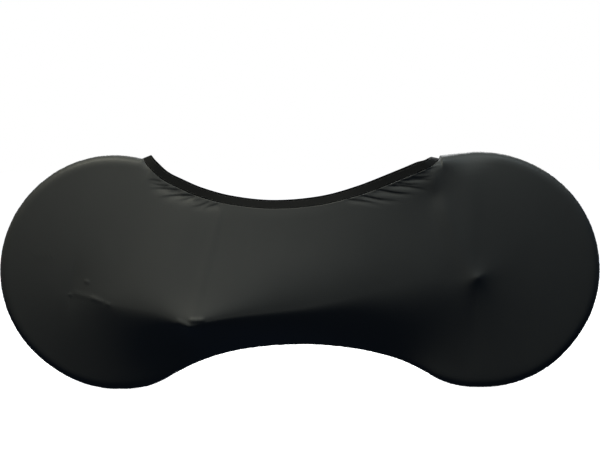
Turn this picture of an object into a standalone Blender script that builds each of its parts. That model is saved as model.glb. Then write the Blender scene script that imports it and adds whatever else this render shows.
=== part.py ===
# Stretch-knit bicycle cover, worn: a hollow sleeve with a closed bottom and ends and a long
# open mouth on top. Two side panels meet in one seam round the middle plane, and a flat
# elastic band runs round the mouth. +X is the length, +Z is up, the origin is on the floor
# below the middle. Every surface is a half-width, read as a distance from the middle plane.

import math
from bisect import bisect_right
from collections import namedtuple

import bmesh
import bpy
from mathutils import Vector

# Driving dimensions, in metres
LOBE_SPACING = 1.154        # between the middles of the two round lobes
LOBE_RADIUS = 0.370         # outer radius of a lobe
WAIST_RISE = 0.141          # bottom seam above the floor, midway between the lobes
LOBE_ROLL = 0.030           # half-width and depth of the rolled edge of a lobe
WAIST_ROLL = 0.010          # the same under the waist, where the panels meet like a keel
FRONT_ROLL = 0.058          # half-width of the flat top beside the front end of the mouth
FRONT_SLOPE = 0.100         # slope of the straight seam beside the front end of the mouth
REAR_END_X = -0.5015        # where the mouth's rear end meets the top seam
FRONT_END_X = 0.4445        # where the mouth's front end meets the top seam
PANEL_THICKNESS = 0.0016
BAND_WIDTH = 0.0275
BAND_THICKNESS = 0.0026
BAND_LEAN = math.radians(13.0)
BAND_LEAN_RUN = 0.060       # length of band over which the lean comes in from an end
KEEL_END_X = 0.460          # where the keel edge under the waist has widened to the lobe's roll
KEEL_BLEND = 0.220          # length over which it widens
FRONT_NARROW_RUN = 0.120    # length over which the flat top beside the mouth narrows to the roll
REAR_SEAM_START = 98.0      # degrees round the rear lobe where the top edge starts
FRONT_SEAM_STOP = 84.0      # degrees round the front lobe where the top edge stops
FRAME_STEP = 0.001          # length over which the band's direction is read
SEAM_GAP = 0.0003           # between touching pieces
MERGE_DISTANCE = 0.00002    # joins the lines of a panel where they meet on its crest
CREASE_DEPTH = 0.0032       # of a gather beside the mouth
CREASE_START = 0.3          # share of that depth at the mouth's edge itself
CREASE_RISE = 0.030         # distance into the panel over which a gather deepens
PEAK_FADE = 0.050           # distance from an edge over which a peak comes in

# Mesh spacing
EDGE_ROWS = (0.0, 0.0025, 0.009, 0.019, 0.031)     # distances from a panel's edge
MIDDLE_ROWS = 4
PATH_STEPS = 40
CREST_ROWS = (0.030, 0.011)                        # distances from a panel's crest
END_STEPS = 18
REAR_SEAM_STEPS = 5
FRONT_SEAM_STEPS = 4                               # on the straight seam beside the mouth
FRONT_LOBE_STEPS = 2                               # past it, on the lobe
BAND_STEP = 0.030                                  # along the band where it has no gathers
BAND_END_STEPS = (0.0, 0.006, 0.014, 0.024, 0.034) # distances from either end of the band

# The line of greatest half-width along each panel, and how softly it is rounded there
Crest = namedtuple("Crest", "x z reach rounding")
NEAR_CREST = (
    Crest(-0.720, 0.309, 0.056, 0.030),
    Crest(-0.623, 0.283, 0.080, 0.008),
    Crest(-0.584, 0.272, 0.092, 0.008),
    Crest(-0.463, 0.247, 0.121, 0.012),
    Crest(-0.337, 0.226, 0.146, 0.014),
    Crest(-0.185, 0.247, 0.136, 0.030),
    Crest(0.000, 0.258, 0.116, 0.060),
    Crest(0.249, 0.292, 0.092, 0.080),
    Crest(0.405, 0.321, 0.080, 0.080),
    Crest(0.556, 0.354, 0.064, 0.050),
)
FAR_CREST = (
    Crest(-0.600, 0.362, 0.062, 0.060),
    Crest(-0.400, 0.380, 0.082, 0.060),
    Crest(-0.150, 0.398, 0.112, 0.050),
    Crest(0.110, 0.416, 0.146, 0.016),
    Crest(0.300, 0.398, 0.112, 0.050),
    Crest(0.572, 0.366, 0.064, 0.050),
)

# Local peaks and hollows of the stretched cloth; angle turns a long one in the side view
Peak = namedtuple("Peak", "x z height length breadth angle")
NEAR_PEAKS = (
    Peak(-0.337, 0.226, 0.019, 0.050, 0.030, 0.0),
    Peak(0.556, 0.354, 0.010, 0.026, 0.020, 0.0),
    Peak(0.462, 0.540, 0.006, 0.170, 0.020, math.radians(-70.0)),
    Peak(-0.671, 0.350, -0.006, 0.012, 0.009, 0.0),
    Peak(-0.726, 0.305, -0.004, 0.012, 0.008, 0.0),
)
FAR_PEAKS = (
    Peak(0.110, 0.416, 0.0185, 0.050, 0.030, 0.0),
    Peak(0.566, 0.360, 0.010, 0.026, 0.020, 0.0),
    Peak(0.462, 0.540, 0.006, 0.170, 0.020, math.radians(-70.0)),
    Peak(-0.585, 0.366, 0.012, 0.040, 0.040, 0.0),
)

# The middle of the band from its rear end to its front end, and the half-width of the mouth
Mouth = namedtuple("Mouth", "x z half_width")
MOUTH = (
    Mouth(-0.4890, 0.7355, 0.030),
    Mouth(-0.4800, 0.7220, 0.0305),
    Mouth(-0.4630, 0.7050, 0.0315),
    Mouth(-0.4246, 0.6715, 0.0345),
    Mouth(-0.3773, 0.6450, 0.0385),
    Mouth(-0.3140, 0.6172, 0.044),
    Mouth(-0.2193, 0.5963, 0.050),
    Mouth(-0.0843, 0.5855, 0.055),
    Mouth(0.0629, 0.5968, 0.058),
    Mouth(0.1881, 0.6285, 0.060),
    Mouth(0.3131, 0.6758, 0.062),
    Mouth(0.3758, 0.7017, 0.062),
    Mouth(0.4080, 0.7150, 0.060),
    Mouth(0.4295, 0.7295, 0.058),
)
REAR_TURN = 0.050           # length of band that turns over the edge at the rear end
FRONT_TURN = 0.046          # the same at the front end

# How a lobe's edge strays from its circle: angle round the lobe in degrees, outward offset
Stray = namedtuple("Stray", "angle offset")
REAR_STRAY = (
    Stray(70.0, -0.001), Stray(100.0, 0.000), Stray(150.0, 0.0025), Stray(185.0, -0.0005),
    Stray(231.0, -0.0065), Stray(262.0, -0.0015), Stray(285.0, 0.0010), Stray(297.5, 0.000),
)
FRONT_STRAY = (
    Stray(-117.5, 0.000), Stray(-100.0, 0.000), Stray(-80.0, 0.000), Stray(-45.0, -0.0055),
    Stray(-12.0, 0.000), Stray(30.0, 0.0015), Stray(60.0, 0.0005), Stray(95.0, 0.000),
)

# Where a line across the panel starts at the top edge and where it reaches the crest
Fall = namedtuple("Fall", "edge_x crest_part")
FALLS = (
    Fall(-0.640, 0.000), Fall(-0.503, 0.035), Fall(-0.427, 0.095), Fall(-0.348, 0.175),
    Fall(-0.260, 0.280), Fall(-0.080, 0.470), Fall(0.158, 0.680), Fall(0.270, 0.790),
    Fall(0.355, 0.870), Fall(0.444, 0.945), Fall(0.630, 1.000),
)

# Gathers along the band: place as the length from its rear end, how far each runs into the
# panel, and its depth as a share of the full depth
Gather = namedtuple("Gather", "run length depth")
GATHERS = (
    Gather(0.045, 0.070, 0.6), Gather(0.066, 0.075, 0.9), Gather(0.087, 0.085, 0.8),
    Gather(0.108, 0.110, 1.0), Gather(0.130, 0.080, 0.7), Gather(0.153, 0.100, 1.0),
    Gather(0.176, 0.070, 0.6), Gather(0.200, 0.075, 0.8), Gather(0.226, 0.060, 0.5),
    Gather(0.255, 0.050, 0.3),
    Gather(0.690, 0.080, 0.6), Gather(0.722, 0.100, 1.0), Gather(0.757, 0.095, 0.9),
    Gather(0.792, 0.100, 1.0), Gather(0.824, 0.110, 0.9), Gather(0.855, 0.090, 0.8),
    Gather(0.884, 0.080, 0.7), Gather(0.912, 0.070, 0.6), Gather(0.938, 0.050, 0.5),
)
GATHER_LEAD = 0.055         # how far a line follows a gather before it turns to the crest
REAR_GATHERS_STOP = 0.400   # length along the band where the rear gathers have ended
FRONT_GATHERS_START = 0.540 # length along the band where the front gathers start
GATHER_BLEND = 0.220        # length over which lines stop following the gathers
GATHER_END_BLEND = 0.120    # the same at either end of the band
GATHER_SPACING = 0.050      # gathers closer than this have one rise between them
GATHER_TURN = math.radians(33.0)    # between a gather and the band

# Looks: base colour, roughness
FINISHES = {
    "near_panel": ((0.022, 0.022, 0.021), 0.62),
    "far_panel": ((0.022, 0.022, 0.021), 0.62),
    "mouth_band": ((0.012, 0.012, 0.012), 0.75),
}

REAR_X = -LOBE_SPACING / 2
FRONT_X = LOBE_SPACING / 2
MID_RADIUS = LOBE_RADIUS - PANEL_THICKNESS / 2
LOBE_Z = LOBE_RADIUS

# A point on a panel's edge: place in the side view, half-width there, half-width and depth
# of the roll that the line starts in, lead of the line into the panel, the gather that it
# follows, and the direction out of the cloth where the band fixes it
Edge = namedtuple("Edge", "x z half full depth lead crease outward")

# The band at one place: its middle, the directions across it and out of it, and the
# half-width of the mouth past the turn over an end
Frame = namedtuple("Frame", "middle across outward full")


def clear_scene():
    for item in list(bpy.data.objects):
        bpy.data.objects.remove(item, do_unlink=True)


def read(rows, place, keys=None):
    """Row at a place in a table, on smooth curves through its rows."""
    keys = keys or [row[0] for row in rows]
    last = len(rows) - 1
    index = 0
    while index < last - 1 and place > keys[index + 1]:
        index += 1
    span = keys[index + 1] - keys[index]
    part = min(max((place - keys[index]) / span, 0.0), 1.0)
    before = max(index - 1, 0)
    after = min(index + 2, last)
    values = []
    for column in range(len(rows[0])):
        start = rows[index][column]
        end = rows[index + 1][column]
        leave = (end - rows[before][column]) / (keys[index + 1] - keys[before]) * span
        arrive = (rows[after][column] - start) / (keys[after] - keys[index]) * span
        cubic = leave + arrive - 2 * (end - start)
        square = 3 * (end - start) - 2 * leave - arrive
        values.append(((cubic * part + square) * part + leave) * part + start)
    return type(rows[0])(*values)


def smooth_step(value):
    value = min(max(value, 0.0), 1.0)
    return value * value * (3 - 2 * value)


def roll(part):
    """Share of the full half-width at a part of the way down a rolled edge."""
    return math.sqrt(max(1 - (1 - min(part, 1.0)) ** 2, 0.0))


def lobe_point(middle_x, strays, degrees):
    radius = MID_RADIUS + read(strays, degrees).offset
    angle = math.radians(degrees)
    return middle_x + radius * math.cos(angle), LOBE_Z + radius * math.sin(angle)


def waist_circle():
    """Radius and middle height of the arch that is tangent to both lobes."""
    half = LOBE_SPACING / 2
    rise = LOBE_Z - WAIST_RISE
    radius = (half ** 2 + rise ** 2 - MID_RADIUS ** 2) / (2 * (MID_RADIUS - rise))
    return radius, WAIST_RISE - radius


def bottom_seam(x):
    """Point on the bottom seam below a place on the crest."""
    radius, middle_z = waist_circle()
    tangent = LOBE_SPACING / 2 * radius / (radius + MID_RADIUS)
    if abs(x) < tangent:
        return x, middle_z + math.sqrt(radius ** 2 - x ** 2)
    if x < 0:
        return lobe_point(REAR_X, REAR_STRAY, 360 - math.degrees(math.acos((x - REAR_X) / MID_RADIUS)))
    return lobe_point(FRONT_X, FRONT_STRAY, -math.degrees(math.acos((x - FRONT_X) / MID_RADIUS)))


def seam_edge(point, full, depth):
    return Edge(point[0], point[1], SEAM_GAP / 2, full, depth, None, None, None)


def bottom_edge(x):
    waist = smooth_step((KEEL_END_X - abs(x)) / KEEL_BLEND)
    size = LOBE_ROLL + (WAIST_ROLL - LOBE_ROLL) * waist
    return seam_edge(bottom_seam(x), size, size)


def mouth_runs():
    """Length along the band's middle, in the side view, at each row of the mouth's table."""
    runs = [0.0]
    for first, second in zip(MOUTH, MOUTH[1:]):
        runs.append(runs[-1] + math.hypot(second.x - first.x, second.z - first.z))
    return runs


def band_middle(run, runs):
    """Middle of the band, and the half-width of the mouth past the turn over an end."""
    row = read(MOUTH, run, runs)
    turn = roll(run / REAR_TURN) * roll((runs[-1] - run) / FRONT_TURN)
    return Vector((row.x, row.half_width * turn, row.z)), row.half_width


def band_frame(run, runs):
    """The band at a length from its rear end, on the far side."""
    total = runs[-1]
    middle, full = band_middle(run, runs)
    behind = band_middle(max(run - FRAME_STEP, 0.0), runs)[0]
    ahead = band_middle(min(run + FRAME_STEP, total), runs)[0]
    along = ahead - behind
    flat = Vector((along.x, 0.0, along.z)).normalized()
    lean = BAND_LEAN * smooth_step(min(run, total - run) / BAND_LEAN_RUN)
    across = Vector((-flat.z * math.cos(lean), -math.sin(lean), flat.x * math.cos(lean)))
    if run == 0.0:
        along = Vector((0.0, 1.0, 0.0))
    if run == total:
        along = Vector((0.0, -1.0, 0.0))
    return Frame(middle, across, across.cross(along).normalized(), full)


def mouth_edge(run, runs, crease):
    """Panel's edge below the band."""
    frame = band_frame(run, runs)
    point = frame.middle - frame.across * (BAND_WIDTH / 2 + SEAM_GAP)
    half = max(point.y, SEAM_GAP / 2)
    total = runs[-1]
    rear = smooth_step((REAR_GATHERS_STOP - run) / GATHER_BLEND)
    rear *= smooth_step(run / GATHER_END_BLEND)
    front = smooth_step((run - FRONT_GATHERS_START) / GATHER_BLEND)
    front *= smooth_step((total - run) / GATHER_END_BLEND)
    down = Vector((frame.across.x, frame.across.z)).normalized() * -math.sin(GATHER_TURN)
    away = Vector((frame.across.z, -frame.across.x)).normalized() * math.cos(GATHER_TURN)
    lead = (down + away * (1 if front > rear else -1)) * max(front, rear)
    return Edge(point.x, point.z, half, max(frame.full, half), LOBE_ROLL, lead, crease, frame.outward)


def mouth_stations(runs):
    """Places along the band, a trough at each gather and a rise between, and plain ones."""
    total = runs[-1]
    places = {}
    for gather in GATHERS:
        places[round(gather.run, 4)] = gather
    for first, second in zip(GATHERS, GATHERS[1:]):
        gap = second.run - first.run
        steps = 2 if gap < GATHER_SPACING else int(gap / BAND_STEP)
        for step in range(1, steps):
            places[round(first.run + gap * step / steps, 4)] = None
    for place in BAND_END_STEPS:
        places[place] = None
        places[round(total - place, 4)] = None
    return sorted(places.items())


def top_edges():
    """Edges along the top, rear to front: seam, mouth, seam."""
    edges = []
    rear_end = math.degrees(math.acos((REAR_END_X - REAR_X) / MID_RADIUS))
    for step in range(REAR_SEAM_STEPS):
        degrees = REAR_SEAM_START + (rear_end - REAR_SEAM_START) * step / REAR_SEAM_STEPS
        edges.append(seam_edge(lobe_point(REAR_X, REAR_STRAY, degrees), LOBE_ROLL, LOBE_ROLL))
    runs = mouth_runs()
    for run, crease in mouth_stations(runs):
        edges.append(mouth_edge(min(run, runs[-1]), runs, crease))
    straight = math.degrees(math.atan(FRONT_SLOPE)) + 90
    tangent_x, tangent_z = lobe_point(FRONT_X, FRONT_STRAY, straight)
    points = []
    for step in range(1, FRONT_SEAM_STEPS + 1):
        back = (tangent_x - FRONT_END_X) * (1 - step / FRONT_SEAM_STEPS)
        points.append((tangent_x - back, tangent_z - back * FRONT_SLOPE))
    for step in range(1, FRONT_LOBE_STEPS + 1):
        degrees = straight + (FRONT_SEAM_STOP - straight) * step / FRONT_LOBE_STEPS
        points.append(lobe_point(FRONT_X, FRONT_STRAY, degrees))
    for point in points:
        narrow = smooth_step((point[0] - FRONT_END_X) / FRONT_NARROW_RUN)
        full = FRONT_ROLL + (LOBE_ROLL - FRONT_ROLL) * narrow
        edges.append(seam_edge(point, full, LOBE_ROLL))
    return edges


def crest_x(crest, edge_x):
    part = min(max(read(FALLS, edge_x).crest_part, 0.0), 1.0)
    return crest[0].x + (crest[-1].x - crest[0].x) * part


def peak_height(peaks, x, z):
    total = 0.0
    for peak in peaks:
        along = (x - peak.x) * math.cos(peak.angle) + (z - peak.z) * math.sin(peak.angle)
        across = (z - peak.z) * math.cos(peak.angle) - (x - peak.x) * math.sin(peak.angle)
        distance = math.hypot(along / peak.length, across / peak.breadth)
        total += peak.height * math.exp(1 - math.sqrt(1 + distance ** 2))
    return total


def line_rows(length):
    """Distances from the edge at which a line across the panel gets its points."""
    first = EDGE_ROWS[-1]
    last = length - CREST_ROWS[0]
    middle = [first + (last - first) * step / MIDDLE_ROWS for step in range(1, MIDDLE_ROWS)]
    near_crest = [length - distance for distance in CREST_ROWS]
    return list(EDGE_ROWS) + middle + near_crest + [length]


def line_path(start, lead, end):
    """Side view of a line: straight, or along a gather first and then round to the crest."""
    if lead is None:
        return [start, end]
    straight = (end - start).normalized() * (1 - lead.length)
    bend = start + (straight + lead) * GATHER_LEAD
    parts = [step / PATH_STEPS for step in range(PATH_STEPS + 1)]
    return [start.lerp(bend, part).lerp(bend.lerp(end, part), part) for part in parts]


def panel_line(edge, crest, peaks, side):
    """Points from an edge to the crest, on the middle of the cloth's thickness."""
    places = line_path(Vector((edge.x, edge.z)), edge.lead, Vector((crest.x, crest.z)))
    lengths = [0.0]
    for first, second in zip(places, places[1:]):
        lengths.append(lengths[-1] + (second - first).length)
    length = lengths[-1]
    span = (places[-1] - places[0]).length
    begun = edge.depth * (1 - math.sqrt(max(1 - (edge.half / edge.full) ** 2, 0.0)))
    soft = crest.rounding
    points = []
    for distance in line_rows(length):
        index = min(bisect_right(lengths, distance), len(lengths) - 1)
        part = (distance - lengths[index - 1]) / (lengths[index] - lengths[index - 1])
        place = places[index - 1].lerp(places[index], part)
        behind = (places[-1] - place).length
        drop = (math.hypot(behind, soft) - soft) / (math.hypot(span, soft) - soft)
        half = crest.reach - (crest.reach - edge.full) * drop
        half *= roll((begun + distance) / edge.depth)
        half += peak_height(peaks, place.x, place.y) * smooth_step(distance / PEAK_FADE)
        if edge.crease:
            fade = 1 - smooth_step(distance / edge.crease.length)
            fade *= smooth_step(CREASE_START + distance / CREASE_RISE)
            half -= CREASE_DEPTH * edge.crease.depth * fade
        points.append(Vector((place.x, side * half, place.y)))
    if edge.half < SEAM_GAP:
        points[0].y = side * SEAM_GAP / 2
    return points


def panel_lines(crest, peaks, side):
    """Edges and the points from each to the crest, in order right round the panel."""
    top = [(edge, read(crest, crest_x(crest, edge.x))) for edge in top_edges()]
    bottom = [(bottom_edge(row.x), row) for edge, row in reversed(top)]
    rear_row = top[0][1]
    front_row = top[-1][1]
    rear_first = 360 - math.degrees(math.acos((rear_row.x - REAR_X) / MID_RADIUS))
    rear_last = math.degrees(math.acos((top[0][0].x - REAR_X) / MID_RADIUS))
    front_first = -math.degrees(math.acos((front_row.x - FRONT_X) / MID_RADIUS))
    front_last = math.degrees(math.acos((top[-1][0].x - FRONT_X) / MID_RADIUS))
    rear = end_arc(REAR_X, REAR_STRAY, rear_first, rear_last, rear_row)
    front = end_arc(FRONT_X, FRONT_STRAY, front_first, front_last, front_row)
    pairs = top + front[::-1] + bottom + rear
    return [(edge, panel_line(edge, row, peaks, side)) for edge, row in pairs]


def end_arc(middle_x, strays, first, last, row):
    """Edges round one end of the panel, whose lines all run to the end of the crest."""
    arc = []
    for step in range(1, END_STEPS):
        degrees = first + (last - first) * step / END_STEPS
        arc.append((seam_edge(lobe_point(middle_x, strays, degrees), LOBE_ROLL, LOBE_ROLL), row))
    return arc


def finish_object(name, mesh_source):
    mesh = bpy.data.meshes.new(name)
    mesh_source.to_mesh(mesh)
    mesh_source.free()
    mesh.shade_smooth()
    item = bpy.data.objects.new(name, mesh)
    bpy.context.scene.collection.objects.link(item)
    colour, roughness = FINISHES[name]
    material = bpy.data.materials.new(name)
    material.use_nodes = True
    shader = material.node_tree.nodes["Principled BSDF"]
    shader.inputs["Base Color"].default_value = (*colour, 1.0)
    shader.inputs["Roughness"].default_value = roughness
    mesh.materials.append(material)


def make_panel(name, crest, peaks, side):
    """Panel as a closed sheet: an outer skin, an inner skin and the wall at its edge."""
    sheet = bmesh.new()
    edge_outward = {}
    grid = []
    for edge, points in panel_lines(crest, peaks, side):
        line = [sheet.verts.new(point) for point in points]
        if edge.outward:
            edge_outward[line[0]] = Vector((edge.outward.x, side * edge.outward.y, edge.outward.z))
        grid.append(line)
    for index, line in enumerate(grid):
        other = grid[(index + 1) % len(grid)]
        for row in range(len(line) - 1):
            sheet.faces.new((line[row], line[row + 1], other[row + 1], other[row]))
    bmesh.ops.remove_doubles(sheet, verts=sheet.verts, dist=MERGE_DISTANCE)
    bmesh.ops.recalc_face_normals(sheet, faces=sheet.faces)
    if sum(face.normal.y * face.calc_area() for face in sheet.faces) * side < 0:
        bmesh.ops.reverse_faces(sheet, faces=sheet.faces)
    sheet.normal_update()
    offsets = {}
    for vert in sheet.verts:
        normal = edge_outward.get(vert, vert.normal)
        if abs(vert.co.y) < SEAM_GAP:
            normal = Vector((normal.x, 0.0, normal.z))
        offsets[vert] = normal.normalized() * PANEL_THICKNESS / 2
    rim = [tuple(edge.verts) for edge in sheet.edges if edge.is_boundary]
    inner = bmesh.ops.duplicate(sheet, geom=sheet.verts[:] + sheet.edges[:] + sheet.faces[:])
    inner_faces = [item for item in inner["geom"] if isinstance(item, bmesh.types.BMFace)]
    bmesh.ops.reverse_faces(sheet, faces=inner_faces)
    partner = inner["vert_map"]
    for vert, offset in offsets.items():
        partner[vert].co = vert.co - offset
        vert.co = vert.co + offset
    for first, second in rim:
        sheet.faces.new((first, second, partner[second], partner[first]))
    bmesh.ops.triangulate(sheet, faces=sheet.faces)
    bmesh.ops.recalc_face_normals(sheet, faces=sheet.faces)
    finish_object(name, sheet)


def band_corners(run, runs, side):
    """Four corners of the band's section: outer low, outer high, inner high, inner low."""
    frame = band_frame(run, runs)
    corners = []
    for width, thickness in ((-1, 1), (1, 1), (1, -1), (-1, -1)):
        point = frame.middle + frame.across * width * BAND_WIDTH / 2
        point += frame.outward * thickness * BAND_THICKNESS / 2
        corners.append(Vector((point.x, side * point.y, point.z)))
    return corners


def make_band():
    """Band as one closed loop of four-cornered sections."""
    runs = mouth_runs()
    places = [min(run, runs[-1]) for run, crease in mouth_stations(runs)]
    near = [band_corners(run, runs, -1) for run in places]
    far = [band_corners(run, runs, 1) for run in reversed(places[1:-1])]
    loop = bmesh.new()
    rings = [[loop.verts.new(point) for point in corners] for corners in near + far]
    for index, ring in enumerate(rings):
        other = rings[(index + 1) % len(rings)]
        for corner in range(4):
            following = (corner + 1) % 4
            loop.faces.new((ring[corner], other[corner], other[following], ring[following]))
    bmesh.ops.triangulate(loop, faces=loop.faces)
    bmesh.ops.recalc_face_normals(loop, faces=loop.faces)
    finish_object("mouth_band", loop)


clear_scene()
make_panel("near_panel", NEAR_CREST, NEAR_PEAKS, -1)
make_panel("far_panel", FAR_CREST, FAR_PEAKS, 1)
make_band()
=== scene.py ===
import math
from bisect import bisect_right

import bmesh
import bpy
import numpy as np
from mathutils import Matrix, Vector, noise


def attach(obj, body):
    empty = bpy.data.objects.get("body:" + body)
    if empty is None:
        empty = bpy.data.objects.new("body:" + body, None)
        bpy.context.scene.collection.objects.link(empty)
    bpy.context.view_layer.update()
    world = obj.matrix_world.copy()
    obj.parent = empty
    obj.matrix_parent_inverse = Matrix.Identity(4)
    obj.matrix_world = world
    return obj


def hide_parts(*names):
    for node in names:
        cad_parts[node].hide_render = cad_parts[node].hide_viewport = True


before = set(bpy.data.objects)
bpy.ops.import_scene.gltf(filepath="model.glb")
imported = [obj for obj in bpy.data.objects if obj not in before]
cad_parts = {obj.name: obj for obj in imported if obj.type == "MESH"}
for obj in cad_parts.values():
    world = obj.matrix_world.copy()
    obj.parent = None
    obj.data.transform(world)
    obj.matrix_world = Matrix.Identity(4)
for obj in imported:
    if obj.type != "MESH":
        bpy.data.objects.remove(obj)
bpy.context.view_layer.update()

scene = bpy.context.scene

# a stretch-knit cover in its worn shape: two sides of cloth, a band of elastic and their stitches


# small helpers

def smoothStep(value):
    value = min(max(value, 0.0), 1.0)
    return value * value * (3 - 2 * value)


def roll(part, power=2.0):  # share of the full half-width, part of the way down a rolled edge
    return max(1 - (1 - min(part, 1.0)) ** power, 0.0) ** (1 / power)


def readRow(rows, place, keys=None):  # a table's row at a place, on smooth curves through its rows
    keys = keys or [row[0] for row in rows]
    last = len(rows) - 1
    index = min(max(bisect_right(keys, place) - 1, 0), last - 1)
    span = keys[index + 1] - keys[index]
    part = min(max((place - keys[index]) / span, 0.0), 1.0)
    before = max(index - 1, 0)
    after = min(index + 2, last)
    values = []
    for column in range(len(rows[0])):
        start = rows[index][column]
        end = rows[index + 1][column]
        leave = (end - rows[before][column]) / (keys[index + 1] - keys[before]) * span
        arrive = (rows[after][column] - start) / (keys[after] - keys[index]) * span
        cubic = leave + arrive - 2 * (end - start)
        square = 3 * (end - start) - 2 * leave - arrive
        values.append(((cubic * part + square) * part + leave) * part + start)
    return values


def linkObject(name, data):
    item = bpy.data.objects.new(name, data)
    scene.collection.objects.link(item)
    return item


def addPiece(name, shape, material):  # a bmesh becomes a smooth object of one material
    mesh = bpy.data.meshes.new(name)
    shape.to_mesh(mesh)
    shape.free()
    mesh.shade_smooth()
    mesh.materials.append(material)
    return linkObject(name, mesh)


def thicken(item, thickness):  # half to either side of its sheet
    modifier = item.modifiers.new("thickness", "SOLIDIFY")
    modifier.thickness = thickness
    modifier.offset = 0.0


# camera, at the photo's angle

camera = {
    "distance": 5.0,
    "height": 0.80,
    "aimHeight": 0.5195,
    "aimX": 0.0015,
    "roll": 0.0052,          # the right end stands a little higher in the picture
    "frameWidth": 1.8950,    # metres across the picture at the middle of the cover
    "sensor": 36.0,
}


def makeCamera():
    data = bpy.data.cameras.new("camera")
    data.sensor_width = camera["sensor"]
    data.lens = camera["sensor"] * camera["distance"] / camera["frameWidth"]
    item = linkObject("camera", data)
    place = Vector((camera["aimX"], -camera["distance"], camera["height"]))
    look = Vector((camera["aimX"], 0, camera["aimHeight"])) - place
    turn = look.to_track_quat("-Z", "Y").to_matrix() @ Matrix.Rotation(-camera["roll"], 3, "Z")
    item.matrix_world = Matrix.Translation(place) @ turn.to_4x4()
    scene.camera = item


# floor and lights

stage = {
    "floorSize": 60.0,
    "floorColour": (0.90, 0.90, 0.90, 1),
    "floorRoughness": 0.9,
    "floorGlow": 1.15,
    "backdropColour": (1, 1, 1, 1),
    "skyColour": (0.30, 0.52, 1.0, 1),
    "skyStrength": 0.045,
    "lights": {  # place, aim, size, power, colour
        "key": ((-1.00, -0.80, 2.75), (-0.20, 0, 0.35), 0.75, 69, (1.0, 0.985, 0.82)),
        "top": ((1.20, -0.60, 3.0), (0.5, 0, 0.5), 1.0, 36, (0.80, 0.94, 1.0)),
        "fill": ((-0.60, -3.0, 1.70), (-0.2, 0, 0.35), 1.2, 13, (0.84, 0.93, 1.0)),
        "back": ((0.5, 3.0, 2.3), (0.0, 0, 0.4), 1.5, 60, (0.96, 0.98, 1.0)),
    },
}


def makeStage():
    paint = bpy.data.materials.new("paleFloor")
    paint.use_nodes = True
    shader = paint.node_tree.nodes["Principled BSDF"]
    shader.inputs["Base Color"].default_value = stage["floorColour"]
    shader.inputs["Roughness"].default_value = stage["floorRoughness"]
    shader.inputs["Emission Color"].default_value = stage["floorColour"]
    shader.inputs["Emission Strength"].default_value = stage["floorGlow"]
    sheet = bmesh.new()
    bmesh.ops.create_grid(sheet, x_segments=1, y_segments=1, size=stage["floorSize"] / 2)
    floor = addPiece("floor", sheet, paint)
    floor.visible_diffuse = False  # a white floor would light the underside, which is nearly black
    floor.visible_glossy = False

    # the camera sees a white world, and a dim blue one adds to the lights
    world = bpy.data.worlds.new("studio")
    scene.world = world
    world.use_nodes = True
    nodes = world.node_tree.nodes
    links = world.node_tree.links
    dim = nodes["Background"]
    dim.inputs["Color"].default_value = stage["skyColour"]
    dim.inputs["Strength"].default_value = stage["skyStrength"]
    bright = nodes.new("ShaderNodeBackground")
    bright.inputs["Color"].default_value = stage["backdropColour"]
    mix = nodes.new("ShaderNodeMixShader")
    path = nodes.new("ShaderNodeLightPath")
    links.new(path.outputs["Is Camera Ray"], mix.inputs[0])
    links.new(dim.outputs[0], mix.inputs[1])
    links.new(bright.outputs[0], mix.inputs[2])
    links.new(mix.outputs[0], nodes["World Output"].inputs["Surface"])

    for name, (place, aim, size, power, colour) in stage["lights"].items():
        data = bpy.data.lights.new(name, "AREA")
        data.shape = "DISK"
        data.size = size
        data.energy = power
        data.color = colour
        lamp = linkObject(name, data)
        lamp.location = place
        lamp.rotation_euler = (Vector(aim) - Vector(place)).to_track_quat("-Z", "Y").to_euler()
    scene.view_settings.view_transform = "Standard"


# materials

knit = {
    "colour": (0.0235, 0.0240, 0.0230, 1),
    "paler": (0.0275, 0.0280, 0.0268, 1),
    "cloudScale": 11.0,       # of the noise that mixes the two colours
    "cloudDetail": 6.0,
    "ribs": 124.14,           # faint ribs in a metre of the cover's length
    "ribSway": 0.5,
    "courses": 155.97,        # faint rows in a metre of its height
    "courseSway": 0.8,
    "bump": 0.16,
    "bumpDepth": 0.0003,
    "roughness": 0.62,
    "specular": 0.35,
    "sheen": 0.12,
    "sheenRoughness": 0.45,
}
elastic = {
    "colour": (0.0036, 0.0036, 0.0037, 1),
    "edgeColour": (0.0023, 0.0023, 0.0025, 1),
    "edgeShare": 0.16,        # of the band's width, to where its full colour starts
    "ribs": 130.51,           # in a metre of band
    "ribSway": 0.3,
    "roughness": 0.80,
    "specular": 0.13,
    "bump": 0.30,
    "bumpDepth": 0.0004,
}
thread = {
    "colour": (0.012, 0.012, 0.012, 1),
    "roughness": 0.55,
    "twistScale": 900.0,
    "bump": 0.2,
    "bumpDepth": 0.0002,
}
waveRadians = 20              # of Blender's wave texture in a metre, at a scale of 1


def newMaterial(name):
    material = bpy.data.materials.new(name)
    material.use_nodes = True
    return material, material.node_tree.nodes, material.node_tree.links


def addWave(nodes, links, source, direction, count, distortion):
    wave = nodes.new("ShaderNodeTexWave")
    wave.bands_direction = direction
    wave.inputs["Scale"].default_value = count * 2 * math.pi / waveRadians
    wave.inputs["Distortion"].default_value = distortion
    wave.inputs["Detail"].default_value = 1.0
    links.new(source, wave.inputs["Vector"])
    return wave


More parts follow.
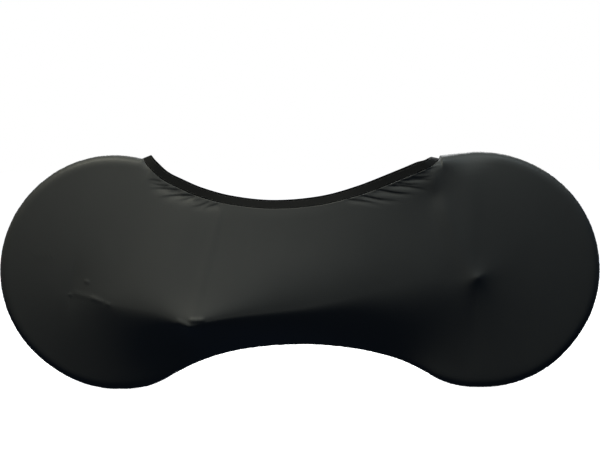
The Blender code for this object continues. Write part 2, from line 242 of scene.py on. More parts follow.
def knitMaterial():  # its ribs and rows make the bump, and a noise mixes its two colours
    material, nodes, links = newMaterial("stretchKnit")
    shader = nodes["Principled BSDF"]
    place = nodes.new("ShaderNodeTexCoord").outputs["Object"]
    rib = addWave(nodes, links, place, "X", knit["ribs"], knit["ribSway"])
    course = addWave(nodes, links, place, "Z", knit["courses"], knit["courseSway"])
    both = nodes.new("ShaderNodeMath")
    both.operation = "MULTIPLY"
    links.new(rib.outputs["Fac"], both.inputs[0])
    links.new(course.outputs["Fac"], both.inputs[1])
    bump = nodes.new("ShaderNodeBump")
    bump.inputs["Strength"].default_value = knit["bump"]
    bump.inputs["Distance"].default_value = knit["bumpDepth"]
    links.new(both.outputs[0], bump.inputs["Height"])
    links.new(bump.outputs["Normal"], shader.inputs["Normal"])
    cloud = nodes.new("ShaderNodeTexNoise")
    cloud.inputs["Scale"].default_value = knit["cloudScale"]
    cloud.inputs["Detail"].default_value = knit["cloudDetail"]
    links.new(place, cloud.inputs["Vector"])
    tone = nodes.new("ShaderNodeMix")
    tone.data_type = "RGBA"
    tone.inputs["A"].default_value = knit["colour"]
    tone.inputs["B"].default_value = knit["paler"]
    links.new(cloud.outputs["Fac"], tone.inputs["Factor"])
    links.new(tone.outputs["Result"], shader.inputs["Base Color"])
    shader.inputs["Roughness"].default_value = knit["roughness"]
    shader.inputs["Specular IOR Level"].default_value = knit["specular"]
    shader.inputs["Sheen Weight"].default_value = knit["sheen"]
    shader.inputs["Sheen Roughness"].default_value = knit["sheenRoughness"]
    return material


def elasticMaterial():  # ribs run across the band, and its two edges are a little darker
    material, nodes, links = newMaterial("blackElastic")
    shader = nodes["Principled BSDF"]
    place = nodes.new("ShaderNodeUVMap")
    place.uv_map = "bandMap"
    wave = addWave(nodes, links, place.outputs["UV"], "X", elastic["ribs"], elastic["ribSway"])
    bump = nodes.new("ShaderNodeBump")
    bump.inputs["Strength"].default_value = elastic["bump"]
    bump.inputs["Distance"].default_value = elastic["bumpDepth"]
    links.new(wave.outputs["Fac"], bump.inputs["Height"])
    links.new(bump.outputs["Normal"], shader.inputs["Normal"])
    parts = nodes.new("ShaderNodeSeparateXYZ")
    links.new(place.outputs["UV"], parts.inputs[0])
    ramp = nodes.new("ShaderNodeValToRGB")
    ramp.color_ramp.elements[0].position = 0.0
    ramp.color_ramp.elements[0].color = elastic["edgeColour"]
    ramp.color_ramp.elements[1].position = 1.0
    ramp.color_ramp.elements[1].color = elastic["edgeColour"]
    for position in (elastic["edgeShare"], 1 - elastic["edgeShare"]):
        ramp.color_ramp.elements.new(position).color = elastic["colour"]
    links.new(parts.outputs["Y"], ramp.inputs["Fac"])
    links.new(ramp.outputs["Color"], shader.inputs["Base Color"])
    shader.inputs["Roughness"].default_value = elastic["roughness"]
    shader.inputs["Specular IOR Level"].default_value = elastic["specular"]
    return material


def threadMaterial():  # a fine noise stands for its twist
    material, nodes, links = newMaterial("blackThread")
    shader = nodes["Principled BSDF"]
    place = nodes.new("ShaderNodeTexCoord").outputs["Object"]
    twist = nodes.new("ShaderNodeTexNoise")
    twist.inputs["Scale"].default_value = thread["twistScale"]
    links.new(place, twist.inputs["Vector"])
    bump = nodes.new("ShaderNodeBump")
    bump.inputs["Strength"].default_value = thread["bump"]
    bump.inputs["Distance"].default_value = thread["bumpDepth"]
    links.new(twist.outputs["Fac"], bump.inputs["Height"])
    links.new(bump.outputs["Normal"], shader.inputs["Normal"])
    shader.inputs["Base Color"].default_value = thread["colour"]
    shader.inputs["Roughness"].default_value = thread["roughness"]
    return material


# the cover's outline in the side view, in metres

cover = {
    "radius": 0.370,
    "spacing": 1.154,         # between the middles of the round lobes
    "clothThickness": 0.0012,
    "waistRise": 0.141,
    "lobeRoll": 0.030,        # half-width and depth of the rolled edge of a lobe
    "keelRoll": 0.010,        # the same under the waist
    "rollPower": 2.7,         # 2 is a round edge, more is squarer
    "keelEnd": 0.460,
    "keelBlend": 0.220,
    "frontRoll": 0.058,       # half-width of the flat top beside the mouth's front end
    "frontSlope": 0.100,
    "frontNarrow": 0.120,
    "straightShare": 0.7,     # of the lines in front of the mouth, on the straight slope there
    "frontLoose": 0.065,      # the edge's turn is this much deeper about the next x
    "looseX": 0.529,
    "looseRun": 0.054,
    "topStart": 98.0,         # degrees round the rear lobe
    "topStop": 84.0,          # degrees round the front lobe
    "mouthRearX": -0.4915,
    "mouthFrontX": 0.4445,
    "gap": 0.0003,            # between the pieces
    # how the edge strays from its circle: degrees, outward offset
    "rearStray": [(70, 0.0005), (98, 0.0040), (118, 0.0045), (150, 0.0035), (185, 0.0015),
                  (216, -0.0025), (232, -0.0045), (245, -0.0030), (262, -0.0002), (272, 0.0002),
                  (284, 0.0030), (297.5, -0.0022)],
    "frontStray": [(-117.5, -0.0022), (-108, 0.0022), (-100, 0.0020), (-90, 0.0002),
                   (-80, 0.0005), (-58, 0.0010), (-38, -0.0005), (-12, 0.0025), (30, 0.0045),
                   (48, 0.0045), (66, 0.0040), (78, 0.0055), (95, 0.0090)],
    # how the waist's seam strays from its arch: x, upward offset
    "archStray": [(-0.46, 0.0010), (-0.41, 0.0025), (-0.31, 0.0060), (-0.22, 0.0050), (-0.10, 0.0),
                  (0.0, -0.0015), (0.12, 0.0), (0.24, 0.0040), (0.32, 0.0070), (0.37, 0.0052),
                  (0.41, 0.0025), (0.46, -0.0040)],
}
frontX = cover["spacing"] / 2
rearX = -frontX
midRadius = cover["radius"] - cover["clothThickness"] / 2
slopeDegrees = math.degrees(math.atan(cover["frontSlope"])) + 90  # where the slope meets the lobe


def lobePoint(middleX, strays, degrees):
    radius = midRadius + readRow(strays, degrees)[1]
    angle = math.radians(degrees)
    return middleX + radius * math.cos(angle), cover["radius"] + radius * math.sin(angle)


def degreesAt(x, middleX):
    return math.degrees(math.acos(min(max((x - middleX) / midRadius, -1), 1)))


def archCircle():  # the waist's arch is tangent to both lobes: radius, and where it starts
    rise = cover["radius"] - cover["waistRise"]
    arch = (frontX ** 2 + rise ** 2 - midRadius ** 2) / (2 * (midRadius - rise))
    return arch, frontX * arch / (arch + midRadius)


def bottomPoint(x):
    arch, tangent = archCircle()
    if abs(x) < tangent:
        lift = readRow(cover["archStray"], x)[1]
        return x, cover["waistRise"] - arch + math.sqrt(arch ** 2 - x ** 2) + lift
    if x < 0:
        return lobePoint(rearX, cover["rearStray"], 360 - degreesAt(x, rearX))
    return lobePoint(frontX, cover["frontStray"], -degreesAt(x, frontX))


# the elastic band round the mouth

band = {
    "width": 0.0275,
    "thickness": 0.0022,
    "lean": math.radians(13.0),
    "leanRun": 0.060,
    "middleLean": math.radians(19.0),  # further lean about the middle of the mouth
    "middleRun": 0.330,       # either way from the middle
    "middleGrowth": 1.6,      # how fast that lean grows from the ends of its run
    "rearTurn": 0.050,        # length that turns over the edge at the rear end
    "frontTurn": 0.046,
    "rearFlat": 0.045,        # length over which the band tips to lie across the top
    "frontFlat": 0.075,
    "rearAcross": Vector((0.93, 0.0, 0.37)),
    "frontAcross": Vector((-0.98, 0.0, 0.20)),
    "steps": 260,             # along one side
    "rows": 6,                # across
    "probe": 0.001,           # distance to either side at which its direction is read
    "rounding": 0.0007,
    "roundingSegments": 2,
    "roundingAngle": math.radians(50),
    # middle of the band: x, z, half-width of the mouth
    "middle": [(-0.4790, 0.7375, 0.0300), (-0.4710, 0.7245, 0.0305), (-0.4590, 0.7105, 0.0315),
               (-0.4246, 0.6790, 0.0345), (-0.3773, 0.6540, 0.0385), (-0.3140, 0.6262, 0.0440),
               (-0.2193, 0.6005, 0.0500), (-0.0843, 0.5858, 0.0550), (0.0629, 0.5968, 0.0580),
               (0.1881, 0.6285, 0.0600), (0.3131, 0.6758, 0.0620), (0.3758, 0.7017, 0.0620),
               (0.4080, 0.7150, 0.0600), (0.4295, 0.7295, 0.0580)],
}
bandRuns = [0.0]
for first, second in zip(band["middle"], band["middle"][1:]):
    bandRuns.append(bandRuns[-1] + math.hypot(second[0] - first[0], second[1] - first[1]))
bandLength = bandRuns[-1]


def bandMiddle(run):
    x, z, full = readRow(band["middle"], run, bandRuns)
    turn = roll(run / band["rearTurn"]) * roll((bandLength - run) / band["frontTurn"])
    return Vector((x, full * turn, z)), full


def bandFrame(run):  # middle, direction across the band, direction out of it, full half-width
    middle, full = bandMiddle(run)
    probe = band["probe"]
    along = bandMiddle(min(run + probe, bandLength))[0] - bandMiddle(max(run - probe, 0.0))[0]
    flat = Vector((along.x, 0.0, along.z)).normalized()
    lean = band["lean"] * smoothStep(min(run, bandLength - run) / band["leanRun"])
    inner = 1 - abs(run - bandLength / 2) / band["middleRun"]
    lean += band["middleLean"] * smoothStep(band["middleGrowth"] * inner)
    across = Vector((-flat.z * math.cos(lean), -math.sin(lean), flat.x * math.cos(lean)))
    across = across.lerp(band["rearAcross"], 1 - smoothStep(run / band["rearFlat"]))
    across = across.lerp(band["frontAcross"], 1 - smoothStep((bandLength - run) / band["frontFlat"]))
    across.normalize()
    if run <= 0:
        along = Vector((0.0, 1.0, 0.0))
    if run >= bandLength:
        along = Vector((0.0, -1.0, 0.0))
    return middle, across, across.cross(along).normalized(), full


def bandPoint(run, share, side):  # share runs from -0.5 at the cloth to 0.5 at the free edge
    middle, across, outward, full = bandFrame(min(max(run, 0.0), bandLength))
    point = middle + across * share * (band["width"] - cover["gap"])
    return Vector((point.x, side * point.y, point.z)), Vector((outward.x, side * outward.y, outward.z))


# one side of the cover: lines run from its edge to the line where it stands out furthest

sides = {
    "nearSide": {
        "node": "near_panel",
        "side": -1,
        # x, z, reach from the middle plane, softness
        "crest": [(-0.726, 0.315, 0.055, 0.030), (-0.664, 0.302, 0.072, 0.012),
                  (-0.607, 0.284, 0.088, 0.012), (-0.535, 0.272, 0.105, 0.034),
                  (-0.463, 0.261, 0.121, 0.036), (-0.418, 0.250, 0.130, 0.024),
                  (-0.374, 0.231, 0.140, 0.013), (-0.340, 0.219, 0.146, 0.010),
                  (-0.312, 0.228, 0.146, 0.012), (-0.260, 0.238, 0.143, 0.018),
                  (-0.185, 0.250, 0.136, 0.036), (0.000, 0.270, 0.116, 0.095),
                  (0.120, 0.293, 0.105, 0.150), (0.249, 0.324, 0.092, 0.200),
                  (0.405, 0.350, 0.080, 0.180), (0.505, 0.354, 0.069, 0.100),
                  (0.556, 0.356, 0.0695, 0.014)],
        # x, z, height, length, breadth, turn in degrees
        "peaks": [(-0.340, 0.224, 0.009, 0.056, 0.034, 0),
                  (0.556, 0.357, 0.0035, 0.034, 0.018, 24),
                  (-0.020, 0.470, -0.0045, 0.220, 0.070, 0),
                  (0.466, 0.540, 0.006, 0.150, 0.018, -70),
                  (0.428, 0.614, -0.006, 0.022, 0.028, 0)],
        # short folds of the cloth: start x and z, end x and z, height, half-breadth
        "folds": [(-0.700, 0.312, -0.640, 0.296, 0.0008, 0.010),
                  (-0.648, 0.299, -0.618, 0.289, 0.0014, 0.007),
                  (-0.602, 0.283, -0.596, 0.279, 0.0012, 0.006),
                  (-0.375, 0.233, -0.342, 0.219, 0.0022, 0.007),
                  (-0.334, 0.236, -0.300, 0.236, 0.0026, 0.007),
                  (-0.668, 0.350, -0.664, 0.348, 0.0017, 0.0055),
                  (-0.722, 0.308, -0.718, 0.307, 0.0013, 0.005),
                  (0.548, 0.356, 0.572, 0.366, 0.0008, 0.008),
                  (-0.835, 0.431, -0.772, 0.430, 0.0008, 0.004),
                  (-0.626, 0.434, -0.591, 0.434, 0.0008, 0.004)],
        # parts that are cut finer: low x, high x, low z, high z, length of a face there
        "fineParts": [(-0.735, -0.585, 0.272, 0.358, 0.0028), (-0.400, -0.280, 0.200, 0.255, 0.0030),
                      (-0.585, -0.400, 0.235, 0.300, 0.0060), (0.520, 0.595, 0.335, 0.385, 0.0040)],
    },
    "farSide": {
        "node": "far_panel",
        "side": 1,
        "crest": [(-0.600, 0.362, 0.062, 0.050), (-0.400, 0.380, 0.082, 0.050),
                  (-0.150, 0.398, 0.112, 0.040), (0.110, 0.416, 0.146, 0.014),
                  (0.300, 0.398, 0.112, 0.040), (0.572, 0.366, 0.064, 0.050)],
        "peaks": [(0.110, 0.416, 0.0185, 0.046, 0.028, 0),
                  (0.566, 0.360, 0.010, 0.024, 0.016, 10),
                  (0.466, 0.540, 0.006, 0.150, 0.018, -70),
                  (-0.585, 0.366, 0.012, 0.040, 0.036, 0)],
        "folds": [(0.078, 0.414, 0.140, 0.424, 0.0060, 0.008),
                  (0.542, 0.356, 0.592, 0.366, 0.0030, 0.006),
                  (-0.618, 0.372, -0.560, 0.360, 0.0035, 0.007)],
        "fineParts": [(0.060, 0.160, 0.395, 0.440, 0.0035), (0.540, 0.592, 0.345, 0.375, 0.0040),
                      (-0.630, -0.550, 0.350, 0.380, 0.0040)],
    },
}

# gathers beside the mouth: x and z at the band, x and z where the gather ends, share of the depth
gathers = {
    "depth": 0.0002,
    "groove": 0.0023,         # along the middle of the trough, with a steep upper wall
    "grooveAbove": 0.0030,
    "rearBelow": 0.0140,      # the groove's lower wall, at either end of the mouth
    "frontBelow": 0.0082,
    "halfBreadth": 0.0054,
    "above": 0.62,            # share of the breadth above a gather's line, where its wall is steep
    "below": 2.30,
    "startBreadth": 0.85,     # share of the breadth at the band, and what it gains to the end
    "endGain": 0.5,
    "ridge": 0.8,             # height of the low ridges beside the trough
    "fall": 0.9,              # how fast they die out, and how far out they are followed
    "reach": 3.2,
    "bend": 0.002,
    "before": -0.3,           # a gather starts and ends at these parts of its length
    "after": 1.25,
    "fadeIn": 0.35,
    "fadeOut": 0.95,
    "lowest": 0.55,           # height under which there are none
    "edgeLead": 0.006,        # they grow from this far outside the cloth's edge, over the next length
    "edgeRun": 0.012,
    # the far side's gathers are a little different: by how much, and the step from one to the next
    "farStart": (0.006, 2.1),
    "farEnd": (0.010, 1.3),
    "farDepth": (0.85, 0.25, 1.7),  # the first is the middle share of the near side's depth
    "rows": [(-0.438, 0.660, -0.476, 0.664, 0.7), (-0.416, 0.646, -0.466, 0.655, 0.9),
             (-0.386, 0.633, -0.463, 0.637, 1.2), (-0.377, 0.626, -0.418, 0.629, 0.5),
             (-0.342, 0.616, -0.428, 0.611, 1.4), (-0.338, 0.608, -0.388, 0.599, 0.7),
             (-0.311, 0.601, -0.339, 0.594, 0.4), (-0.289, 0.593, -0.335, 0.579, 0.7),
             (-0.260, 0.587, -0.298, 0.573, 0.8),
             (0.163, 0.600, 0.255, 0.584, 0.9), (0.205, 0.611, 0.300, 0.596, 1.2),
             (0.236, 0.622, 0.280, 0.615, 0.4), (0.255, 0.630, 0.345, 0.617, 1.3),
             (0.292, 0.644, 0.388, 0.632, 1.2), (0.309, 0.652, 0.372, 0.647, 1.0),
             (0.330, 0.661, 0.410, 0.661, 1.1), (0.351, 0.670, 0.412, 0.672, 0.9),
             (0.368, 0.681, 0.412, 0.682, 0.6), (0.398, 0.697, 0.438, 0.703, 0.7)],
}

cloth = {
    "rearLines": 12,          # lines along the top seam behind the mouth
    "mouthLines": 110,
    "frontLines": 14,
    "endLines": 150,          # round one end
    "edgeRows": [0.0, 0.0022, 0.0055, 0.0105, 0.0175, 0.0260, 0.0350],
    "middleRows": 23,
    "rowCrowding": 1.25,      # above 1 the rows crowd towards the crest
    "seamRows": 4,            # rows at the seam that are cut finer
    "seamSize": 0.0045,
    # both sides' parts that are cut finer: low x, high x, low z, high z, length of a face there
    "fineParts": [(-0.500, -0.245, 0.565, 0.700, 0.0026), (0.150, 0.455, 0.570, 0.720, 0.0026)],
    "fineGrade": 0.35,        # growth of that length with the distance from the part
    "fineTimes": 3,           # rounds of cutting
    "freeSize": 1.0,          # more than any face, where none of this asks for a cut
    "cutAbove": 1.45,         # an edge is cut where it is this many times that length
    # where a line starts at the top edge, and where it ends as a share of the crest
    "falls": [(-0.640, 0.000), (-0.503, 0.035), (-0.427, 0.095), (-0.348, 0.175),
              (-0.260, 0.280), (-0.080, 0.470), (0.158, 0.680), (0.270, 0.790),
              (0.355, 0.870), (0.444, 0.945), (0.630, 1.000)],
    "foldReach": 3,           # a fold has died out at this many times its half-breadth
    "peakFade": 0.050,        # from the edge, the length over which peaks and folds grow
    "lagFade": 0.050,         # and the length over which the skin's lag at the edge dies out
    "merge": 0.00002,         # points nearer than this are one
    "digits": 4,              # decimals kept of a line's or a row's number
}
topLines = cloth["rearLines"] + cloth["mouthLines"] + cloth["frontLines"]
allLines = 2 * (topLines + cloth["endLines"])
allRows = len(cloth["edgeRows"]) - 1 + cloth["middleRows"]

pucker = {                    # small irregular drawing-in along the overlocked seam
    "spacing": 0.0052,
    "inward": 0.0011,
    "sink": 0.0017,
    "fade": 0.022,
    "mean": 0.5,
    "sinkLayer": 3.7,         # a place in the noise apart from the drawing-in's
    "sinkRun": 0.004,
}


def seamEdge(point, full, depth):
    return {"x": point[0], "z": point[1], "half": cover["gap"] / 2, "full": full,
            "depth": depth, "seam": True}


def topDepth(x):
    near = math.exp(-((x - cover["looseX"]) / cover["looseRun"]) ** 2)
    return cover["lobeRoll"] + cover["frontLoose"] * near


def mouthEdge(run):  # the cloth's edge below the band
    middle, across, _, full = bandFrame(run)
    point = middle - across * (band["width"] / 2 + cover["gap"])
    half = max(point.y, cover["gap"] / 2)
    return {"x": point.x, "z": point.z, "half": half, "full": max(full, half),
            "depth": topDepth(point.x), "seam": False}


def topEdge(line):  # from the rear seam, along the mouth, to the front seam
    if line < cloth["rearLines"]:
        stop = degreesAt(cover["mouthRearX"], rearX)
        degrees = cover["topStart"] + (stop - cover["topStart"]) * line / cloth["rearLines"]
        size = cover["lobeRoll"]
        return seamEdge(lobePoint(rearX, cover["rearStray"], degrees), size, size)
    line -= cloth["rearLines"]
    if line <= cloth["mouthLines"]:
        return mouthEdge(bandLength * line / cloth["mouthLines"])
    part = (line - cloth["mouthLines"]) / cloth["frontLines"]
    tangent = lobePoint(frontX, cover["frontStray"], slopeDegrees)
    straightShare = cover["straightShare"]
    if part < straightShare:
        back = (tangent[0] - cover["mouthFrontX"]) * (1 - part / straightShare)
        point = (tangent[0] - back, tangent[1] - back * cover["frontSlope"])
    else:
        part = (part - straightShare) / (1 - straightShare)
        degrees = slopeDegrees + (cover["topStop"] - slopeDegrees) * part
        point = lobePoint(frontX, cover["frontStray"], degrees)
    narrow = smoothStep((point[0] - cover["mouthFrontX"]) / cover["frontNarrow"])
    full = cover["frontRoll"] + (cover["lobeRoll"] - cover["frontRoll"]) * narrow
    return seamEdge(point, full, topDepth(point[0]))


def crestRow(values, edgeX):
    part = min(max(readRow(cloth["falls"], edgeX)[1], 0.0), 1.0)
    crest = values["crest"]
    return readRow(crest, crest[0][0] + (crest[-1][0] - crest[0][0]) * part)


def edgeAndCrest(values, line):
    line %= allLines
    if line <= topLines:
        edge = topEdge(line)
        return edge, crestRow(values, edge["x"])
    line -= topLines
    firstTop = topEdge(0)
    lastTop = topEdge(topLines)
    size = cover["lobeRoll"]
    if line < cloth["endLines"]:
        row = crestRow(values, lastTop["x"])
        first = degreesAt(lastTop["x"], frontX)
        degrees = first + (-degreesAt(row[0], frontX) - first) * line / cloth["endLines"]
        point = lobePoint(frontX, cover["frontStray"], degrees)
        return seamEdge(point, size, topDepth(point[0]) if degrees > 0 else size), row
    line -= cloth["endLines"]
    if line <= topLines:
        row = crestRow(values, topEdge(topLines - line)["x"])
        keel = smoothStep((cover["keelEnd"] - abs(row[0])) / cover["keelBlend"])
        size += (cover["keelRoll"] - size) * keel
        return seamEdge(bottomPoint(row[0]), size, size), row
    line -= topLines
    row = crestRow(values, firstTop["x"])
    first = 360 - degreesAt(row[0], rearX)
    degrees = first + (degreesAt(firstTop["x"], rearX) - first) * line / cloth["endLines"]
    return seamEdge(lobePoint(rearX, cover["rearStray"], degrees), size, size), row


# the pull of the stretched cloth, worked out as a taut skin between its edge and its crest

skin = {
    # size of a cell in each round, half of the one before, and the round's sweeps
    "cells": [0.020, 0.010, 0.005, 0.0025],
    "sweeps": [900, 400, 220, 140],
    "soften": 3,              # sweeps at the end, with nothing held
    "margin": 0.03,
    "perLine": 4,             # held points for each line of the cloth's edge
    "perCrest": 3000,
    "leastSoftness": 0.0002,
}


def relax(heights):
    padded = np.pad(heights, 1, mode="edge")
    return (padded[:-2, 1:-1] + padded[2:, 1:-1] + padded[1:-1, :-2] + padded[1:-1, 2:]) / 4


def tautSkin(values):
    held = []
    for step in range(allLines * skin["perLine"]):
        edge = edgeAndCrest(values, step / skin["perLine"])[0]
        held.append((edge["x"], edge["z"], edge["full"]))
    crest = values["crest"]
    for step in range(skin["perCrest"] + 1):
        x = crest[0][0] + (crest[-1][0] - crest[0][0]) * step / skin["perCrest"]
        held.append(tuple(readRow(crest, x)[:3]))
    held = np.array(held)
    lowX, lowZ = held[:, 0].min() - skin["margin"], held[:, 1].min() - skin["margin"]
    highX, highZ = held[:, 0].max() + skin["margin"], held[:, 1].max() + skin["margin"]
    heights = None
    for cell, sweeps in zip(skin["cells"], skin["sweeps"]):
        shape = (int(round((highZ - lowZ) / cell)) + 1, int(round((highX - lowX) / cell)) + 1)
        columns = np.round((held[:, 0] - lowX) / cell).astype(int)
        rows = np.round((held[:, 1] - lowZ) / cell).astype(int)
        if heights is None:
            heights = np.full(shape, cover["lobeRoll"])
        else:
            heights = np.pad(np.kron(heights, np.ones((2, 2))), ((0, 2), (0, 2)), mode="edge")
            heights = heights[:shape[0], :shape[1]]
        for _ in range(sweeps):
            heights = relax(heights)
            heights[rows, columns] = held[:, 2]
    for _ in range(skin["soften"]):
        heights = relax(heights)
    return heights, lowX, lowZ, skin["cells"][-1]


def readSkin(taut, x, z):
    heights, lowX, lowZ, cell = taut
    column = (x - lowX) / cell
    row = (z - lowZ) / cell
    left = min(max(int(column), 0), heights.shape[1] - 2)
    under = min(max(int(row), 0), heights.shape[0] - 2)
    right = column - left
    up = row - under
    lower = heights[under, left] * (1 - right) + heights[under, left + 1] * right
    upper = heights[under + 1, left] * (1 - right) + heights[under + 1, left + 1] * right
    return lower * (1 - up) + upper * up


def peakHeight(peaks, x, z):
    total = 0.0
    for peakX, peakZ, height, length, breadth, turn in peaks:
        turn = math.radians(turn)
        along = (x - peakX) * math.cos(turn) + (z - peakZ) * math.sin(turn)
        across = (z - peakZ) * math.cos(turn) - (x - peakX) * math.sin(turn)
        distance = math.hypot(along / length, across / breadth)
        total += height * math.exp(1 - math.sqrt(1 + distance ** 2))
    return total


def besideFold(startX, startZ, endX, endZ, x, z):  # part along a fold, distance beside it, its length
    lengthX, lengthZ = endX - startX, endZ - startZ
    length = math.hypot(lengthX, lengthZ)
    part = ((x - startX) * lengthX + (z - startZ) * lengthZ) / length ** 2
    return part, ((z - startZ) * lengthX - (x - startX) * lengthZ) / length, length


def foldHeight(folds, x, z):
    total = 0.0
    for startX, startZ, endX, endZ, height, breadth in folds:
        part, beside, length = besideFold(startX, startZ, endX, endZ, x, z)
        over = max(-part, part - 1, 0.0) * length
        distance = math.hypot(over, beside) / breadth
        if distance < cloth["foldReach"]:
            total += height * math.exp(-distance ** 2)
    return total


def gatherHeight(x, z, side):
    total = 0.0
    for index, (startX, startZ, endX, endZ, share) in enumerate(gathers["rows"]):
        if side > 0:
            sway, step = gathers["farStart"]
            startX += sway * math.sin(index * step)
            sway, step = gathers["farEnd"]
            endX += sway * math.sin(index * step)
            middle, sway, step = gathers["farDepth"]
            share *= middle + sway * math.cos(index * step)
        part, beside = besideFold(startX, startZ, endX, endZ, x, z)[:2]
        if gathers["before"] < part < gathers["after"]:
            inner = min(max(part, 0.0), 1.0)
            bend = gathers["bend"] * math.sin(math.pi * inner) * (1 if index % 2 else -1)
            offset = (beside - bend) * math.copysign(1, endX - startX)
            fade = smoothStep((part - gathers["before"]) / gathers["fadeIn"])
            fade *= smoothStep((gathers["after"] - part) / gathers["fadeOut"])
            wall = gathers["grooveAbove"]
            if offset < 0:
                wall = gathers["rearBelow" if startX < 0 else "frontBelow"]
            total -= gathers["groove"] * share * fade * math.exp(-(offset / wall) ** 2)
            breadth = gathers["halfBreadth"] * (gathers["startBreadth"] + gathers["endGain"] * inner)
            offset /= breadth * gathers["above" if offset > 0 else "below"]
            if abs(offset) < gathers["reach"]:
                trough = (1 - gathers["ridge"] * offset ** 2) * math.exp(-gathers["fall"] * offset ** 2)
                total -= gathers["depth"] * share * fade * trough
    return total


def rowDistance(row, length):
    edgeRows = cloth["edgeRows"]
    last = len(edgeRows) - 1
    if row <= last:
        index = min(int(row), last - 1)
        return edgeRows[index] + (edgeRows[index + 1] - edgeRows[index]) * (row - index)
    part = min((row - last) / cloth["middleRows"], 1.0)
    return edgeRows[-1] + (length - edgeRows[-1]) * (1 - (1 - part) ** cloth["rowCrowding"])


def skinHalf(taut, line, place):  # the crest is rounded by its row's softness
    reach, soft = line["crest"][2:4]
    deep = reach - line["edge"]["full"]
    fall = line["crestSkin"] - readSkin(taut, place.x, place.y)
    softness = soft * abs(deep) / line["length"] + skin["leastSoftness"]
    rounded = math.hypot(fall, softness) - softness
    whole = math.copysign(math.hypot(deep, softness) - softness, deep)
    return reach - math.copysign(rounded, fall) * deep / whole


def makeLine(values, taut, number):
    edge, row = edgeAndCrest(values, number)
    start = Vector((edge["x"], edge["z"]))
    end = Vector((row[0], row[1]))
    line = {"edge": edge, "crest": row, "start": start, "end": end, "length": (end - start).length,
            "crestSkin": readSkin(taut, end.x, end.y)}
    line["edgeLag"] = edge["full"] - skinHalf(taut, line, start)  # how far the skin falls short there
    return line


def placeAt(line, row):
    distance = rowDistance(row, line["length"])
    return line["start"].lerp(line["end"], distance / line["length"]), distance


def clothPoint(values, taut, line, row):
    edge = line["edge"]
    place, distance = placeAt(line, row)
    half = skinHalf(taut, line, place)
    half += line["edgeLag"] * (1 - smoothStep(distance / cloth["lagFade"]))
    power = cover["rollPower"]
    # how far down its roll the edge lies
    begun = edge["depth"] * (1 - max(1 - (edge["half"] / edge["full"]) ** power, 0.0) ** (1 / power))
    half *= roll((begun + distance) / edge["depth"], power)
    inside = smoothStep(distance / cloth["peakFade"])
    half += peakHeight(values["peaks"], place.x, place.y) * inside
    half += foldHeight(values["folds"], place.x, place.y) * inside
    if place.y > gathers["lowest"]:
        grown = smoothStep((distance + gathers["edgeLead"]) / gathers["edgeRun"])
        half += gatherHeight(place.x, place.y, values["side"]) * grown
    if edge["seam"]:
        fade = 1 - smoothStep(distance / pucker["fade"])
        if fade > 0:
            middleX = rearX if edge["x"] < 0 else frontX
            way = math.atan2(edge["z"] - cover["radius"], edge["x"] - middleX) * cover["radius"]
            draw = pucker["mean"] + noise.noise(Vector((way / pucker["spacing"], middleX, 0.0)))
            inward = (line["end"] - line["start"]).normalized()
            place = place + inward * (pucker["inward"] * draw * fade)
            layer = pucker["sinkLayer"] + values["side"]
            sink = pucker["mean"] + noise.noise(Vector((way / pucker["spacing"], middleX, layer)))
            half -= pucker["sink"] * sink * fade * smoothStep(distance / pucker["sinkRun"])
    if row == 0:
        half = edge["half"]
    return Vector((place.x, values["side"] * half, place.y))


def wantedSize(parts, line, place, row):
    size = cloth["freeSize"]
    if line["edge"]["seam"] and row < cloth["seamRows"]:
        size = cloth["seamSize"]
    for lowX, highX, lowZ, highZ, fine in parts:
        away = max(lowX - place.x, place.x - highX, lowZ - place.y, place.y - highZ, 0.0)
        size = min(size, fine + away * cloth["fineGrade"])
    return size


def cutFiner(flat, parts, lineAt):
    for _ in range(cloth["fineTimes"]):
        longOnes = []
        for side in flat.edges:
            first, second = (vert.co for vert in side.verts)
            middle = (first + second) / 2
            line = lineAt(middle.x)
            size = wantedSize(parts, line, placeAt(line, middle.y)[0], middle.y)
            start = placeAt(lineAt(first.x), first.y)[0]
            end = placeAt(lineAt(second.x), second.y)[0]
            if (end - start).length > cloth["cutAbove"] * size:
                longOnes.append(side)
        bmesh.ops.subdivide_edges(flat, edges=longOnes, cuts=1, use_grid_fill=True)


def faceOut(sheet, side):
    bmesh.ops.recalc_face_normals(sheet, faces=sheet.faces)
    if sum(face.normal.y * face.calc_area() for face in sheet.faces) * side < 0:
        bmesh.ops.reverse_faces(sheet, faces=sheet.faces)


def makeSide(name, material):
    values = sides[name]
    taut = tautSkin(values)
    digits = cloth["digits"]
    lines = {}

    def lineAt(number):
        key = round(number % allLines, digits)
        if key not in lines:
            lines[key] = makeLine(values, taut, key)
        return lines[key]

    flat = bmesh.new()  # cut flat first: x counts the lines, y the rows
    bmesh.ops.create_grid(flat, x_segments=allLines, y_segments=allRows, size=0.5)
    for vert in flat.verts:
        vert.co.x = round((vert.co.x + 0.5) * allLines, digits)
        vert.co.y = round((vert.co.y + 0.5) * allRows, digits)
    cutFiner(flat, cloth["fineParts"] + values["fineParts"], lineAt)
    for vert in flat.verts:
        vert.co = clothPoint(values, taut, lineAt(vert.co.x), vert.co.y)
    bmesh.ops.remove_doubles(flat, verts=flat.verts, dist=cloth["merge"])
    faceOut(flat, values["side"])
    item = addPiece(name, flat, material)
    thicken(item, cover["clothThickness"])
    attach(item, "root")
    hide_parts(values["node"])
    print(name, len(item.data.vertices), "points", len(item.data.polygons), "faces")


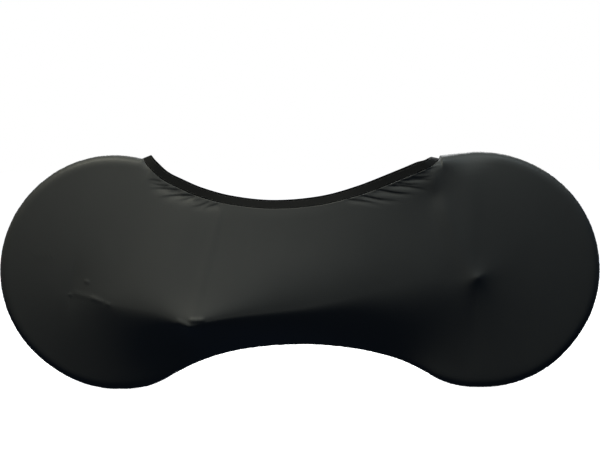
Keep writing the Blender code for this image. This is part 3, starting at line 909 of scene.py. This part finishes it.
def makeBand():
    strip = bmesh.new()
    strip.loops.layers.uv.new("bandMap")
    bandMap = strip.loops.layers.uv["bandMap"]
    bmesh.ops.create_grid(strip, x_segments=2 * band["steps"], y_segments=band["rows"], size=0.5)
    for face in strip.faces:
        for loop in face.loops:
            loop[bandMap].uv = ((loop.vert.co.x + 0.5) * 2 * bandLength, loop.vert.co.y + 0.5)
    for vert in strip.verts:
        place = (vert.co.x + 0.5) * 2
        side = -1 if place <= 1 else 1
        run = bandLength * (place if place <= 1 else 2 - place)
        vert.co = bandPoint(run, vert.co.y, side)[0]
    bmesh.ops.remove_doubles(strip, verts=strip.verts, dist=cloth["merge"])
    bmesh.ops.recalc_face_normals(strip, faces=strip.faces)
    if sum(face.normal.y * face.calc_center_median().y for face in strip.faces) < 0:
        bmesh.ops.reverse_faces(strip, faces=strip.faces)
    item = addPiece("mouthElastic", strip, elasticMaterial())
    thicken(item, band["thickness"])
    rounding = item.modifiers.new("roundEdge", "BEVEL")
    rounding.width = band["rounding"]
    rounding.segments = band["roundingSegments"]
    rounding.limit_method = "ANGLE"
    rounding.angle_limit = band["roundingAngle"]
    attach(item, "root")
    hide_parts("mouth_band")


# stitches: on the band in two rows, and over the seam all round

stitches = {
    "thread": 0.00035,        # radius
    "taper": 0.8,
    "sides": 6,
    "bandLength": 0.0030,
    "bandSpacing": 0.0044,
    "bandRows": (-0.38, 0.38),
    "bandStart": 2,           # stitches left out at either end of a row
    "bandLift": 0.4,          # share of the thread's radius
    "seamLength": 0.0042,
    "seamSpacing": 0.0050,
    "seamLift": 0.0007,
    "seamSlant": 0.25,
    "mouthClear": 0.004,      # the seam stops this far from the mouth
    # steps of the path that the seam's stitches follow
    "lobeSteps": 400,
    "archSteps": 200,
    "slopeSteps": 20,
}


def addStitch(bundle, place, along, length):
    turn = along.to_track_quat("Z", "Y").to_matrix().to_4x4()
    bmesh.ops.create_cone(bundle, cap_ends=True, segments=stitches["sides"], depth=length,
                          radius1=stitches["thread"], radius2=stitches["thread"] * stitches["taper"],
                          matrix=Matrix.Translation(place) @ turn)


def finishStitches(bundle, name, material):
    item = addPiece(name, bundle, material)
    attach(item, "root")


def makeBandStitches(material):
    bundle = bmesh.new()
    count = int(bandLength / stitches["bandSpacing"])
    for side in (-1, 1):
        for share in stitches["bandRows"]:
            for step in range(stitches["bandStart"], count + 1 - stitches["bandStart"]):
                run = bandLength * step / count
                start, outward = bandPoint(run - stitches["bandLength"] / 2, share, side)
                end = bandPoint(run + stitches["bandLength"] / 2, share, side)[0]
                lift = band["thickness"] / 2 + stitches["thread"] * stitches["bandLift"]
                place = (start + end) / 2 + outward.normalized() * lift
                addStitch(bundle, place, end - start, (end - start).length)
    finishStitches(bundle, "bandStitches", material)


def lobePath(middleX, strays, first, last):
    steps = stitches["lobeSteps"]
    return [lobePoint(middleX, strays, first + (last - first) * step / steps)
            for step in range(steps + 1)]


def seamPath():  # the seam in the side view, from the mouth's rear end round to its front end
    tangent = archCircle()[1]
    rearStart = degreesAt(cover["mouthRearX"] - stitches["mouthClear"], rearX)
    points = lobePath(rearX, cover["rearStray"], rearStart, 360 - degreesAt(-tangent, rearX))
    steps = stitches["archSteps"]
    for step in range(1, steps):
        points.append(bottomPoint(-tangent + 2 * tangent * step / steps))
    points += lobePath(frontX, cover["frontStray"], -degreesAt(tangent, frontX), slopeDegrees)
    tangentX, tangentZ = points[-1]
    steps = stitches["slopeSteps"]
    for step in range(1, steps + 1):
        back = (tangentX - cover["mouthFrontX"] - stitches["mouthClear"]) * step / steps
        points.append((tangentX - back, tangentZ - back * cover["frontSlope"]))
    return [Vector((x, 0.0, z)) for x, z in points]


def makeSeamStitches(material):
    bundle = bmesh.new()
    path = seamPath()
    walked = 0.0
    count = 0
    for first, second in zip(path, path[1:]):
        length = (second - first).length
        along = (second - first).normalized()
        outward = Vector((along.z, 0.0, -along.x))  # the path runs round with the cloth on its left
        while walked < length:
            slant = stitches["seamSlant"] * (1 if count % 2 else -1)
            place = first + along * walked
            direction = Vector((0, 1, 0)) + along * slant
            addStitch(bundle, place + outward * stitches["seamLift"], direction, stitches["seamLength"])
            walked += stitches["seamSpacing"]
            count += 1
        walked -= length
    finishStitches(bundle, "seamStitches", material)
    print(count, "seam stitches")


makeCamera()
makeStage()
print("camera and stage stand")
clothMaterial = knitMaterial()
for name in sides:
    makeSide(name, clothMaterial)
makeBand()
print("cloth and band are made")
sewing = threadMaterial()
makeBandStitches(sewing)
makeSeamStitches(sewing)
